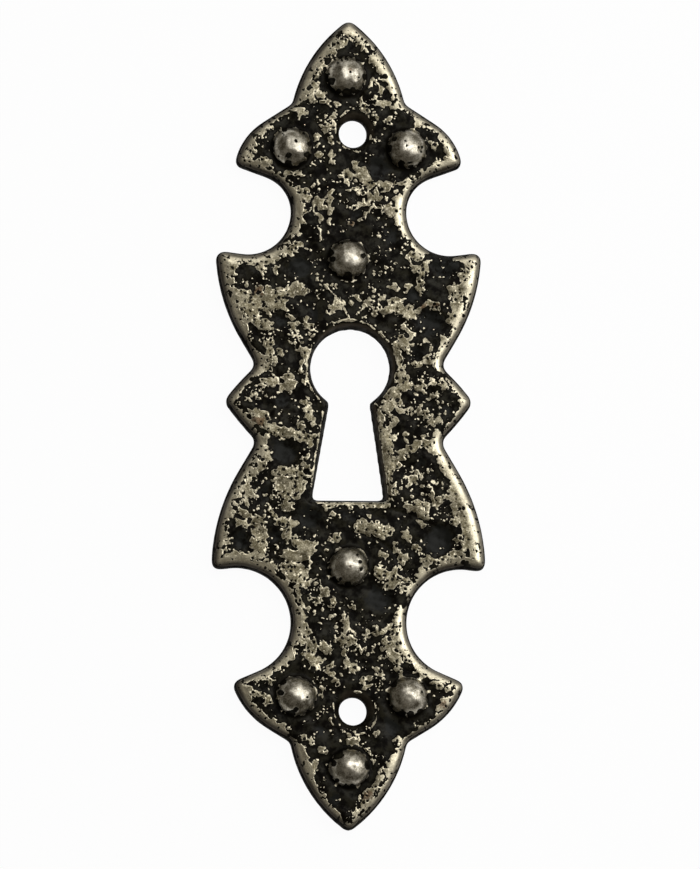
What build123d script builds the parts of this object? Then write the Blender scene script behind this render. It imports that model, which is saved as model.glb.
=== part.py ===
from build123d import *
import os
from math import sqrt

# Keyhole escutcheon: one casting, a plate with a keyhole, two screw holes, eight studs and a beaten face.
# It lies on its back. The origin is in the middle of the back face, +Y points to the end that hangs
# uppermost on a door, and +Z points out of the front face. Sizes are in millimetres.

# Plate
PLATE_THICKNESS = 2.6
RIM_BEVEL = 0.9  # bevel of the front edge, all round the outline, in width and in height

# Outline, right half. Places are a distance from the centre line and a height above the middle.
# Each end has a finial over a notch, then a wing, a bite out of the neck, and an ear.
UPPER_TIP_Y = 50.35
UPPER_FINIAL_BULGE = 1.2  # how far the finial's side stands out from a straight line
UPPER_NOTCH_X, UPPER_NOTCH_Y = 6.95, 39.87
UPPER_SHOULDER_X, UPPER_SHOULDER_Y = 10.7, 37.45  # where the straight top of the wing starts to curve
UPPER_WING_BITE = 4.55  # radius of the bite under the wing
UPPER_WING_LEDGE, UPPER_WING_LIFT = 2.42, 1.15  # from the end of that bite to the wing's corner
UPPER_NECK_X, UPPER_NECK_Y = 7.13, 26.4
UPPER_EAR_BITE = 5.35
UPPER_EAR_LEDGE, UPPER_EAR_HOOK = 3.95, 0.5  # the ear's corner hooks back towards the neck
UPPER_FLANK_X, UPPER_FLANK_Y = 13.35, 10.6

UPPER_WAIST_X, UPPER_WAIST_Y = 11.4, 7.3
SPIKE_X, SPIKE_Y = 15.42, 2.85
SPIKE_BULGE = 0.15
LOWER_WAIST_X, LOWER_WAIST_Y = 11.35, -2.05

LOWER_FLANK_X, LOWER_FLANK_Y = 13.55, -5.75
LOWER_EAR_BITE = 6.75
LOWER_EAR_LEDGE, LOWER_EAR_HOOK = 3.04, 0.35
LOWER_NECK_X, LOWER_NECK_Y = 7.13, -24.55
LOWER_WING_BITE = 6.5
LOWER_WING_LEDGE, LOWER_WING_LIFT = 0.77, 0.9
LOWER_SHOULDER_X, LOWER_SHOULDER_Y = 10.0, -37.6
LOWER_NOTCH_X, LOWER_NOTCH_Y = 7.2, -39.3
LOWER_FINIAL_BULGE = 1.32
LOWER_TIP_Y = -50.4

# Corners, seen from the front. What sticks out is measured on the flat face, inside the bevel.
TIP_FLAT_ROUND = 0.1
CORNER_FLAT_ROUND = 0.05
SPIKE_FLAT_ROUND = 0.2
WAIST_ROUND = 1.1
NOTCH_ROUND = 0.5

# Keyhole, measured at the back. Its walls flare towards the front, so that the casting leaves its mould.
KEYHOLE_X, KEYHOLE_Y = 0.2, 7.0  # centre of the round part
KEYHOLE_DIAMETER = 9.6
KEYHOLE_DROP = 16.25  # from that centre to the foot of the slot
SLOT_TOP_WIDTH = 3.4  # at the level of that centre
SLOT_FOOT_WIDTH = 8.7
SLOT_LEAN = -0.27  # how far the foot stands to the side of that centre
KEYHOLE_FLARE = 0.55  # how far the mouth at the front stands outside the hole at the back
KEYHOLE_CORNER = 0.4

# Screw holes, with a cone at the mouth
SCREW_X, SCREW_MIDDLE_Y = 0.5, 0.3
SCREW_SPACING = 71.6
SCREW_HOLE_DIAMETER = 3.5
SCREW_MOUTH_DIAMETER = 4.9
SCREW_MOUTH_DEPTH = 0.7

# Studs: domes like rivet heads, each in the shallow dish that a rivet set leaves
STUD_DIAMETER = 5.15
STUD_HEIGHT = 1.85  # above the plate's face
STUD_ROOT = 0.6  # how far the stud runs down into the plate
STUD_DISH_DIAMETER = 6.8
STUD_DISH_DEPTH = 0.3  # at its middle, under the stud
STUD_PLACES = [
    (-0.4, 43.1),
    (-7.1, 34.2),
    (7.1, 34.15),
    (-0.15, 20.35),
    (-0.1, -17.75),
    (-6.55, -33.8),
    (7.2, -33.8),
    (0.0, -42.6),
]

# Beaten face: marks of a ball-faced hammer, each a place and the radius that the blow left
HAMMER_BALL_DIAMETER = 19.0
HAMMER_MARKS = [
    (4.2, 41.1, 1.0),
    (-4.3, 39.1, 1.1),
    (-3.7, 32.7, 0.95),
    (3.2, 31.1, 2.0),
    (0.9, 25.9, 1.5),
    (5.0, 23.2, 1.5),
    (-6.0, 19.1, 1.7),
    (11.4, 18.3, 1.95),
    (7.7, 15.7, 1.25),
    (-4.3, 13.6, 1.2),
    (-8.4, 12.5, 1.3),
    (9.9, 12.4, 2.0),
    (8.1, 8.3, 1.4),
    (-8.4, 4.0, 1.5),
    (-8.1, -3.5, 2.0),
    (8.1, -6.1, 1.75),
    (-9.5, -8.4, 2.2),
    (-5.1, -11.7, 1.3),
    (-13.4, -14.1, 1.6),
    (-9.1, -14.1, 1.3),
    (11.0, -14.5, 2.4),
    (3.7, -21.6, 1.9),
    (-3.4, -37.2, 1.3),
    (5.3, -37.4, 1.3),
]


def bite(neck, corner, radius, up):
    """A round bite that starts upright at the neck and runs out in a straight line to a corner."""
    hollow = CenterArc((neck[0] + radius, neck[1]), radius, 0, 360)
    straight = ConstrainedLines(hollow, corner).edges().sort_by(Axis.X)[0]
    return [TangentArc(neck, straight @ 0, tangent=(0, up)), straight]


def shoulder(root, bend, corner):
    """Straight from a root to a bend, then a curve that turns upright towards a corner."""
    slope = (bend[0] - root[0], bend[1] - root[1])
    return [Line(root, bend), TangentArc(bend, corner, tangent=slope)]


def round_corners(face, places, radius):
    """Rounds the corners of the face at these places and at their mirror images."""
    both_sides = places + [(-x, y) for x, y in places if x > 0]
    corners = [face.vertices().sort_by_distance((x, y, 0))[0] for x, y in both_sides]
    return fillet(corners, radius)


def plate_outline():
    upper_tip = (0, UPPER_TIP_Y)
    upper_notch = (UPPER_NOTCH_X, UPPER_NOTCH_Y)
    upper_neck = (UPPER_NECK_X, UPPER_NECK_Y)
    upper_wing = (
        UPPER_NECK_X + UPPER_WING_BITE + UPPER_WING_LEDGE,
        UPPER_NECK_Y + UPPER_WING_BITE + UPPER_WING_LIFT,
    )
    upper_ear = (
        UPPER_NECK_X + UPPER_EAR_BITE + UPPER_EAR_LEDGE,
        UPPER_NECK_Y - UPPER_EAR_BITE + UPPER_EAR_HOOK,
    )
    upper_waist = (UPPER_WAIST_X, UPPER_WAIST_Y)
    spike = (SPIKE_X, SPIKE_Y)
    lower_waist = (LOWER_WAIST_X, LOWER_WAIST_Y)
    lower_neck = (LOWER_NECK_X, LOWER_NECK_Y)
    lower_ear = (
        LOWER_NECK_X + LOWER_EAR_BITE + LOWER_EAR_LEDGE,
        LOWER_NECK_Y + LOWER_EAR_BITE - LOWER_EAR_HOOK,
    )
    lower_wing = (
        LOWER_NECK_X + LOWER_WING_BITE + LOWER_WING_LEDGE,
        LOWER_NECK_Y - LOWER_WING_BITE - LOWER_WING_LIFT,
    )
    lower_notch = (LOWER_NOTCH_X, LOWER_NOTCH_Y)
    lower_tip = (0, LOWER_TIP_Y)

    right = [
        SagittaArc(upper_tip, upper_notch, UPPER_FINIAL_BULGE),
        *shoulder(upper_notch, (UPPER_SHOULDER_X, UPPER_SHOULDER_Y), upper_wing),
        *bite(upper_neck, upper_wing, UPPER_WING_BITE, 1),
        *bite(upper_neck, upper_ear, UPPER_EAR_BITE, -1),
        *shoulder(upper_waist, (UPPER_FLANK_X, UPPER_FLANK_Y), upper_ear),
        SagittaArc(upper_waist, spike, SPIKE_BULGE),
        SagittaArc(spike, lower_waist, SPIKE_BULGE),
        *shoulder(lower_waist, (LOWER_FLANK_X, LOWER_FLANK_Y), lower_ear),
        *bite(lower_neck, lower_ear, LOWER_EAR_BITE, 1),
        *bite(lower_neck, lower_wing, LOWER_WING_BITE, -1),
        *shoulder(lower_notch, (LOWER_SHOULDER_X, LOWER_SHOULDER_Y), lower_wing),
        SagittaArc(lower_notch, lower_tip, LOWER_FINIAL_BULGE),
    ]
    left = [edge.mirror(Plane.YZ) for edge in right]
    face = make_face(right + left)
    face = round_corners(face, [upper_tip, lower_tip], RIM_BEVEL + TIP_FLAT_ROUND)
    wings_and_ears = [upper_wing, upper_ear, lower_ear, lower_wing]
    face = round_corners(face, wings_and_ears, RIM_BEVEL + CORNER_FLAT_ROUND)
    face = round_corners(face, [spike], RIM_BEVEL + SPIKE_FLAT_ROUND)
    face = round_corners(face, [upper_waist, lower_waist], WAIST_ROUND)
    return round_corners(face, [upper_notch, lower_notch], NOTCH_ROUND)


def keyhole():
    """What the keyhole takes out: a round hole for the shank of the key, over a slot for its bit."""
    top = SLOT_TOP_WIDTH / 2
    foot = SLOT_FOOT_WIDTH / 2
    corners = [(top, 0), (SLOT_LEAN + foot, -KEYHOLE_DROP), (SLOT_LEAN - foot, -KEYHOLE_DROP), (-top, 0)]
    back = make_face(Polyline(*corners, close=True))
    front = offset(back, KEYHOLE_FLARE, kind=Kind.INTERSECTION)
    slot = loft([back, Pos(0, 0, PLATE_THICKNESS) * front])
    radius = KEYHOLE_DIAMETER / 2
    standing = (Align.CENTER, Align.CENTER, Align.MIN)
    shank = Rot(0, 0, -90) * Cone(radius, radius + KEYHOLE_FLARE, PLATE_THICKNESS, align=standing)
    hole = shank + slot
    upright = [edge for edge in hole.edges() if edge.bounding_box().size.Z > PLATE_THICKNESS / 2]
    return Pos(KEYHOLE_X, KEYHOLE_Y) * fillet(upright, KEYHOLE_CORNER)


def plate_blank():
    """The plate with its keyhole, bevelled along the front edge of the rim."""
    blank = extrude(plate_outline(), PLATE_THICKNESS)
    front = blank.faces().sort_by(Axis.Z)[-1]
    return chamfer(front.outer_wire().edges(), RIM_BEVEL) - keyhole()


def ball_over_chord(radius, height):
    """The radius of a ball whose cap has this radius and height."""
    return (radius**2 + height**2) / (2 * height)


def ball(x, y, z, radius):
    """A ball whose poles point along Y, so that what it cuts or adds lies on its even middle."""
    return Pos(x, y, z) * Rot(90, 0, 0) * Sphere(radius)


def dish(x, y, radius, depth):
    """The ball that leaves a round dish of this radius and depth in the front face."""
    ball_radius = ball_over_chord(radius, depth)
    return ball(x, y, PLATE_THICKNESS - depth + ball_radius, ball_radius)


def hammer_mark(x, y, radius):
    ball_radius = HAMMER_BALL_DIAMETER / 2
    return dish(x, y, radius, ball_radius - sqrt(ball_radius**2 - radius**2))


def screw_hole(y):
    """A straight hole through the plate, with a cone at its mouth."""
    profile = Polyline(
        (0, 0),
        (SCREW_HOLE_DIAMETER / 2, 0),
        (SCREW_HOLE_DIAMETER / 2, PLATE_THICKNESS - SCREW_MOUTH_DEPTH),
        (SCREW_MOUTH_DIAMETER / 2, PLATE_THICKNESS),
        (0, PLATE_THICKNESS),
        close=True,
    )
    return Pos(SCREW_X, y, 0) * revolve(Plane.XZ * make_face(profile), Axis.Z)


def stud(x, y):
    """A dome on a short root. The dome springs from the dish, a little below the plate's face."""
    radius = STUD_DIAMETER / 2
    spring = PLATE_THICKNESS - STUD_DISH_DEPTH
    rise = STUD_HEIGHT + STUD_DISH_DEPTH
    ball_radius = ball_over_chord(radius, rise)
    standing = (Align.CENTER, Align.CENTER, Align.MIN)
    above = Pos(x, y, spring) * Cylinder(radius, rise, align=standing)
    dome = ball(x, y, spring + rise - ball_radius, ball_radius) & above
    root = Pos(x, y, spring - STUD_ROOT) * Cylinder(radius, STUD_ROOT, align=standing)
    return dome + root


def escutcheon_plate():
    plate = plate_blank()
    plate -= [dish(x, y, STUD_DISH_DIAMETER / 2, STUD_DISH_DEPTH) for x, y in STUD_PLACES]
    plate -= [hammer_mark(*mark) for mark in HAMMER_MARKS]
    plate -= [screw_hole(SCREW_MIDDLE_Y + side * SCREW_SPACING / 2) for side in (-1, 1)]
    plate += [stud(x, y) for x, y in STUD_PLACES]
    return plate


def main():
    os.makedirs("parts", exist_ok=True)
    export_step(escutcheon_plate(), "parts/escutcheon_plate.step")


main()
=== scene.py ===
# %% [markdown]
# # A cast keyhole escutcheon, beaten, blackened and rubbed back
#
# The object is one casting: a flat plate with a keyhole, two screw holes and eight studs. Its construction
# is a finished solid model, which is loaded here as a fixed frame. What is left to do is its skin: soft
# worn edges, the small relief of a beaten face, and a black patina that has been rubbed off the high
# places. Lengths in this lesson are in millimetres where a person would measure them, and Blender works in
# metres.

# %% Load the solid model
from math import cos, pi, radians, sin

import bmesh
import bpy
import numpy as np
from mathutils import Matrix, Vector, kdtree


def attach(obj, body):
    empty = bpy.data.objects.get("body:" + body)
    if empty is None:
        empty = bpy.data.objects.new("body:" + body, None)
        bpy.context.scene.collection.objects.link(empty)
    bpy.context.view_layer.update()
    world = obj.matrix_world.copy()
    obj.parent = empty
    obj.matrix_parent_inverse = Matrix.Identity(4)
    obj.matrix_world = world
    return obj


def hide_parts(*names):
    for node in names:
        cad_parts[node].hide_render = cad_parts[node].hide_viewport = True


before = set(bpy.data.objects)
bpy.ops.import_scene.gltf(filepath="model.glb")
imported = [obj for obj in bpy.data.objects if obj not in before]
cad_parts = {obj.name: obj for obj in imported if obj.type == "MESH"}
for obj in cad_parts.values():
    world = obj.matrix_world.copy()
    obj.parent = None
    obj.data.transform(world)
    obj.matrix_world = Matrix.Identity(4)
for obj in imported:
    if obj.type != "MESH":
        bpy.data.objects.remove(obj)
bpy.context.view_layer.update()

MM = 0.001
scene = bpy.context.scene
scene.view_settings.view_transform = "Standard"
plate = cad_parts["escutcheon_plate"]

# %% [markdown]
# ## Camera
#
# The plate lies on its back and the photograph looks almost straight down on it, from a little to the left
# and a little below, which shows the right and upper walls of the keyhole. The camera is placed by those
# two angles and a distance. Its lens follows from the scale of the photograph, so that the plate fills the
# frame as it does there.

# %% Camera
PHOTO_WIDTH, PHOTO_HEIGHT = 700, 869
MM_PER_PIXEL = 0.1233
CAMERA_DISTANCE = 2000.0
CAMERA_FROM_LEFT, CAMERA_FROM_BELOW = radians(4.0), radians(6.5)
AIM = Vector((0.25, -1.07, 0.0))
SENSOR = 36.0

toward_camera = Vector((-sin(CAMERA_FROM_LEFT), -sin(CAMERA_FROM_BELOW), 1.0)).normalized()
camera_right = Vector((0, 1, 0)).cross(toward_camera).normalized()
camera_up = toward_camera.cross(camera_right)
camera_data = bpy.data.cameras.new("camera")
camera_data.sensor_width = SENSOR
camera_data.lens = CAMERA_DISTANCE / MM_PER_PIXEL * SENSOR / PHOTO_HEIGHT
camera_data.clip_start, camera_data.clip_end = 0.01, 10.0
camera = bpy.data.objects.new("camera", camera_data)
camera.location = (AIM + toward_camera * CAMERA_DISTANCE) * MM
camera.rotation_euler = Matrix((camera_right, camera_up, toward_camera)).transposed().to_euler()
scene.collection.objects.link(camera)
scene.camera = camera
print("lens, mm:", round(camera_data.lens, 1))

# %% [markdown]
# ## Places on the plate, read from the photograph
#
# The worn patches are placed where the photograph has them. A place there is a pixel, and this helper
# follows the ray of that pixel down to the plate's flat face, which lies 2.6 mm above the back in the solid
# model.

# %% From a pixel to the plate's face
FACE_HEIGHT = 2.6
camera_turn = np.array(camera.rotation_euler.to_matrix())
camera_place = np.array(camera.location) / MM


def plate_from_photo(x, y):
    """The place on the plate's face, in millimetres, under a pixel of the photograph."""
    focal_pixels = CAMERA_DISTANCE / MM_PER_PIXEL
    right = (x - PHOTO_WIDTH / 2) / focal_pixels
    up = (PHOTO_HEIGHT / 2 - y) / focal_pixels
    ray = camera_turn @ np.array([right, up, -1.0])
    reach = (FACE_HEIGHT - camera_place[2]) / ray[2]
    return (camera_place + reach * ray)[:2]


print("middle of the picture lies at, mm:", plate_from_photo(PHOTO_WIDTH / 2, PHOTO_HEIGHT / 2).round(2))

# %% [markdown]
# ## Floor and light
#
# The plate lies on a white ground that shows no horizon. The floor is an ordinary white surface for the
# light, and for the camera and for reflections it is mostly a plain white glow, so that it stays white but
# keeps a faint shadow.

# %% Floor
FLOOR_SIZE = 1.6
FLOOR_GAP = 0.02
floor_mesh = bpy.data.meshes.new("floor")
half = FLOOR_SIZE / 2
floor_corners = [(-half, -half, 0), (half, -half, 0), (half, half, 0), (-half, half, 0)]
floor_mesh.from_pydata(floor_corners, [], [(0, 1, 2, 3)])
floor = bpy.data.objects.new("floor", floor_mesh)
floor.location.z = -FLOOR_GAP * MM
scene.collection.objects.link(floor)


def add_node(tree, kind, inputs=None, **settings):
    """Adds a shader node, sets its options, and fills or links its inputs by name or number."""
    made = tree.nodes.new("ShaderNode" + kind)
    for name, value in settings.items():
        setattr(made, name, value)
    for name, value in (inputs or {}).items():
        if isinstance(value, bpy.types.NodeSocket):
            tree.links.new(value, made.inputs[name])
        else:
            made.inputs[name].default_value = value
    return made


def calc(tree, operation, *values, clamp=False):
    """One step of arithmetic between sockets or numbers."""
    made = add_node(tree, "Math", dict(enumerate(values)), operation=operation, use_clamp=clamp)
    return made.outputs[0]


def new_material(name):
    material = bpy.data.materials.new(name)
    material.use_nodes = True
    material.node_tree.nodes.clear()
    return material, material.node_tree


FLOOR_WHITE = (0.85, 0.85, 0.85, 1)
FLOOR_GLOW_SHARE = 0.96

floor_paper, tree = new_material("floor_paper")
light_path = add_node(tree, "LightPath")
seen = calc(tree, "MAXIMUM", light_path.outputs["Is Camera Ray"], light_path.outputs["Is Glossy Ray"])
seen = calc(tree, "MAXIMUM", seen, light_path.outputs["Is Transmission Ray"])
matt_white = add_node(tree, "BsdfDiffuse", {"Color": FLOOR_WHITE})
glow = add_node(tree, "Emission", {"Color": (1, 1, 1, 1), "Strength": 1.0})
mixed = add_node(tree, "MixShader", {
    0: calc(tree, "MULTIPLY", seen, FLOOR_GLOW_SHARE),
    1: matt_white.outputs[0],
    2: glow.outputs[0],
})
add_node(tree, "OutputMaterial", {"Surface": mixed.outputs[0]})
floor_mesh.materials.append(floor_paper)
print("floor, m:", FLOOR_SIZE)

# %% [markdown]
# The light of the photograph is soft. A large box stands to the right and a little above, because the right
# rims and the right side of every stud are bright. A second box hangs over the camera and gives the flat
# face its even tone. A third, weaker one stands beyond the upper end and picks out the rims that face that
# way. The rest of the room is dim, which keeps the left rims brown and grey. A box's brightness is set as
# radiance, where 1 would look white, and its power follows from its size.

# %% Softboxes and the room
def softbox(name, toward, distance, width, height, radiance):
    light = bpy.data.lights.new(name, "AREA")
    light.shape = "RECTANGLE"
    light.size, light.size_y = width, height
    light.energy = radiance * pi * width * height
    lamp = bpy.data.objects.new(name, light)
    direction = Vector(toward).normalized()
    lamp.location = direction * distance
    lamp.rotation_euler = direction.to_track_quat("Z", "Y").to_euler()
    lamp.visible_camera = False
    scene.collection.objects.link(lamp)
    return lamp


softbox("right_box", toward=(1.0, 0.22, 0.80), distance=0.55, width=0.42, height=0.45, radiance=3.0)
softbox("upper_box", toward=(0.15, 0.42, 1.0), distance=0.75, width=0.50, height=0.45, radiance=2.5)
softbox("far_box", toward=(0.15, 1.0, 0.50), distance=0.60, width=0.50, height=0.35, radiance=0.85)
ROOM = (0.125, 0.115, 0.098, 1)
world = bpy.data.worlds.new("room")
world.use_nodes = True
world.node_tree.nodes["Background"].inputs["Color"].default_value = ROOM
world.node_tree.nodes["Background"].inputs["Strength"].default_value = 1.0
scene.world = world

# %% [markdown]
# ## The skin of the casting
#
# The solid model has crisp bevels and true arcs. A casting that has been tumbled and rubbed has none: every
# edge is soft. A bevel modifier would round each edge alike, so the solid is turned into an even net of
# small squares instead, and that net is smoothed, much along the outer rim, little round the holes and
# hardly on the studs. The same net is fine enough to carry the relief of the beaten face later.

# %% Even net over the solid
NET_SPACING = 0.19


def net_over(source, spacing):
    """A closed net of squares of this size over a solid, with its corners in millimetres."""
    welded = bmesh.new()
    welded.from_mesh(source.data)
    bmesh.ops.remove_doubles(welded, verts=welded.verts, dist=1e-7)
    bmesh.ops.scale(welded, vec=(1 / MM,) * 3, verts=welded.verts)
    mesh = bpy.data.meshes.new("net")
    welded.to_mesh(mesh)
    welded.free()
    holder = bpy.data.objects.new("net", mesh)
    scene.collection.objects.link(holder)
    remesh = holder.modifiers.new("squares", "REMESH")
    remesh.mode = "VOXEL"
    remesh.voxel_size = spacing
    net = bpy.data.meshes.new_from_object(holder.evaluated_get(bpy.context.evaluated_depsgraph_get()))
    bpy.data.objects.remove(holder)
    return net


def corners(mesh):
    flat = np.empty(len(mesh.vertices) * 3, np.float32)
    mesh.vertices.foreach_get("co", flat)
    return flat.reshape(-1, 3).astype(float)


def normals(mesh):
    flat = np.empty(len(mesh.vertices) * 3, np.float32)
    mesh.vertex_normals.foreach_get("vector", flat)
    return flat.reshape(-1, 3).astype(float)


def set_corners(mesh, places):
    mesh.vertices.foreach_set("co", places.astype(np.float32).ravel())
    mesh.update()


net = net_over(plate, NET_SPACING)
print("net:", len(net.vertices), "corners,", len(net.polygons), "squares")

# %% [markdown]
# Smoothing moves every corner of the net towards the middle of its neighbours, again and again. How far is
# a weight of its own: full along the outer rim, where hands and cloth have rubbed the casting round, less
# elsewhere, almost none on the studs, which keep their domes, and none on the flat back, apart from its
# edges. The distance to the outer rim comes from a search tree of the corners on the outer wall.

# %% Distances to the walls
KEYHOLE_BOX = ((-5.6, -10.6), (5.9, 13.0))
SCREW_PLACES = [(0.5, 36.1), (0.5, -35.5)]
SCREW_MOUTH_RADIUS = 2.45
WALL_TILT, WALL_LOW, WALL_HIGH = 0.3, 0.3, 1.4
STUD_PLACES = [
    (-0.4, 43.1), (-7.1, 34.2), (7.1, 34.15), (-0.15, 20.35), (-0.1, -17.75), (-6.55, -33.8), (7.2, -33.8),
    (0.0, -42.6),
]


def tree_of(points):
    tree = kdtree.KDTree(len(points))
    for index, (x, y) in enumerate(points):
        tree.insert((x, y, 0), index)
    tree.balance()
    return tree


def distance_to(points, places):
    """The distance, seen from the front, of each place to the nearest of the points."""
    tree = tree_of(points)
    return np.array([tree.find((x, y, 0))[2] for x, y in places[:, :2]])


def nearest_of(points, places):
    """The nearest of the points to each place, seen from the front."""
    tree = tree_of(points)
    return points[[tree.find((x, y, 0))[1] for x, y in places[:, :2]]]


def around(places, centre, radius):
    return np.hypot(places[:, 0] - centre[0], places[:, 1] - centre[1]) < radius


places = corners(net)
upright = np.abs(normals(net)[:, 2]) < WALL_TILT
wall = upright & (places[:, 2] > WALL_LOW) & (places[:, 2] < WALL_HIGH)
in_keyhole = np.all((places[:, :2] > KEYHOLE_BOX[0]) & (places[:, :2] < KEYHOLE_BOX[1]), axis=1)
in_screw_hole = np.any([around(places, centre, SCREW_MOUTH_RADIUS) for centre in SCREW_PLACES], axis=0)
outer_wall = places[wall & ~in_keyhole & ~in_screw_hole, :2]
from_outline = distance_to(outer_wall, places)
from_any_wall = distance_to(places[wall, :2], places)
keyhole_wall = places[wall & in_keyhole, :2]
print("outer wall:", len(outer_wall), "corners; widest from it, mm:", round(from_outline.max(), 2))

# %% Smooth the net
SMOOTH_ROUNDS, SMOOTH_STEP = 20, 0.5
RIM_REACH = (1.33, 1.9)
STUD_FOOT = (2.7, 3.2)
BACK_LAYER, BACK_EDGE_REACH = (0.25, 0.8), (0.2, 0.6)
OTHER_SMOOTHING, STUD_SMOOTHING, BACK_EDGE_SMOOTHING = 0.25, 0.06, 0.5


def ramp(values, start, end):
    """0 up to start, 1 from end on, and a smooth step between them."""
    share = np.clip((values - start) / (end - start), 0, 1)
    return share * share * (3 - 2 * share)


def neighbour_mean(edges, count, values):
    total = np.zeros_like(values)
    np.add.at(total, edges[:, 0], values[edges[:, 1]])
    np.add.at(total, edges[:, 1], values[edges[:, 0]])
    return total / count[:, None]


flat_edges = np.empty(len(net.edges) * 2, np.int32)
net.edges.foreach_get("vertices", flat_edges)
edges = flat_edges.reshape(-1, 2)
neighbours = np.bincount(edges.ravel(), minlength=len(places))
softness = OTHER_SMOOTHING + (1 - OTHER_SMOOTHING) * (1 - ramp(from_outline, *RIM_REACH))
beyond_stud = ramp(distance_to(STUD_PLACES, places), *STUD_FOOT)
softness = STUD_SMOOTHING + (softness - STUD_SMOOTHING) * beyond_stud
above_back = ramp(places[:, 2], *BACK_LAYER)
along_wall = BACK_EDGE_SMOOTHING * (1 - ramp(from_any_wall, *BACK_EDGE_REACH))
softness = softness * above_back + along_wall * (1 - above_back)
for _ in range(SMOOTH_ROUNDS):
    places += SMOOTH_STEP * softness[:, None] * (neighbour_mean(edges, neighbours, places) - places)
set_corners(net, places)
print("smoothed; highest, mm:", round(places[:, 2].max(), 3))

# %% [markdown]
# The back is flat and needs few faces. A decimation that is limited to it keeps the whole piece light.

# %% Thin out the back
TRIANGLES_KEPT = 0.5
BACK_HEIGHT, BACK_EDGE_KEPT = 0.1, 0.25


def thinned(mesh, chosen, share):
    """The mesh with faces taken out where corners are chosen, until this share of its triangles is left."""
    holder = bpy.data.objects.new("thinned", mesh)
    scene.collection.objects.link(holder)
    group = holder.vertex_groups.new(name="chosen")
    group.add(np.flatnonzero(chosen).tolist(), 1.0, "REPLACE")
    thin = holder.modifiers.new("thin", "DECIMATE")
    thin.ratio = share
    thin.vertex_group = group.name
    result = bpy.data.meshes.new_from_object(holder.evaluated_get(bpy.context.evaluated_depsgraph_get()))
    bpy.data.objects.remove(holder)
    return result


on_back = (places[:, 2] < BACK_HEIGHT) & (from_any_wall > BACK_EDGE_KEPT)
net = thinned(net, on_back, TRIANGLES_KEPT)
places = corners(net)
print("after thinning:", sum(len(face.vertices) - 2 for face in net.polygons), "triangles")

# %% [markdown]
# ## Where the patina is rubbed off
#
# On the real plate the black was laid over everything and then rubbed off what stands proud, so the bare
# metal follows the lumps of the casting. A noise texture alone would put patches anywhere. The patches here
# are dabs and strokes, placed over the photograph, region by region: x, y, radius for a dab, and x, y, x,
# y, half width for a stroke, all in its pixels. The ragged edge of each patch comes later, from noise in
# the material.

# %% Patches on the upper finial and wings
UPPER_FINIAL = [
    (347, 29, 358, 38, 4.5), (342, 43, 5), (333, 50, 324, 59, 2.5), (319, 66, 312, 81, 4),
    (317, 91, 324, 97, 4), (306, 91, 299, 98, 4.5), (328, 101, 338, 103, 2), (361, 40, 365, 47, 5),
    (374, 58, 385, 73, 5), (381, 88, 376, 95, 4), (389, 79, 394, 98, 3), (376, 100, 389, 104, 2.5),
    (362, 101, 361, 106, 2), (367, 109, 4.5), (376, 117, 3.5), (332, 125, 324, 128, 4), (333, 115, 3),
    (301, 113, 4.5), (396, 109, 4.5), (390, 118, 386, 127, 2), (375, 141, 2.5), (348, 52.5, 357, 54.5, 1.2),
    (373, 78, 369.5, 88, 1.2), (333, 38, 3), (314, 84, 310, 100, 3), (402, 108, 4.5),
]
UPPER_WINGS = [
    (317, 136, 318, 155, 4.5), (315, 156, 313, 163, 3), (331, 136, 333, 147, 1.5),
    (333, 147, 330, 163, 1.5), (265, 130, 5), (253, 143, 246, 156, 5), (249, 161, 269, 163, 3.5),
    (287, 172, 303, 175, 1.5), (443, 138, 453, 148, 3), (449, 158, 440, 163, 2.5), (417, 124, 424, 127, 3),
    (422, 172, 2), (430, 147, 4),
]
print("patches:", len(UPPER_FINIAL) + len(UPPER_WINGS))

# %% Patches on the upper neck and ears
UPPER_NECK = [
    (343, 173, 358, 177, 5), (358, 177, 371, 184, 5), (371, 184, 393, 188, 4), (355, 165, 366, 176, 4.5),
    (346, 182, 358, 193, 3), (367, 193, 378, 197, 3.5), (378, 191, 369, 204, 3.5),
    (369, 202, 355, 209, 2.5), (374, 206, 360, 220, 1), (331, 186, 329, 234, 1), (303, 191, 307, 198, 4),
    (317, 198, 321, 206, 3.5), (320, 214, 321, 220, 1.5), (319, 184, 4), (299, 224, 4),
    (408, 181, 402, 190, 3), (399, 197, 400, 222, 5), (390, 207, 389, 215, 4), (397, 216, 403, 231, 4.5),
    (381, 206, 2.5), (352, 223, 3),
]
UPPER_LEFT_EAR = [
    (290, 243, 282, 250, 4), (303, 246, 4), (305, 290, 3), (268, 309, 6), (272, 332, 5), (302, 362, 5),
    (230, 262, 264, 262, 4), (262, 267, 4.5), (269, 258, 294, 246, 5), (278, 269, 3.5),
    (233, 267, 230, 276, 5), (239, 296, 258, 299, 8), (240, 306, 256, 310, 8), (265, 297, 281, 297, 9),
    (281, 297, 296, 289, 5), (269, 306, 281, 305, 6), (248, 285, 3), (260, 289, 4), (251, 319, 267, 328, 5),
    (267, 324, 5), (267, 340, 272, 358, 5), (281, 353, 4), (267, 367, 5), (289, 314, 294, 328, 3),
    (306, 321, 310, 331, 2.5), (312, 324, 313, 335, 1), (297, 337, 299, 342, 2), (304, 351, 6),
    (300, 369, 4),
]
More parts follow.
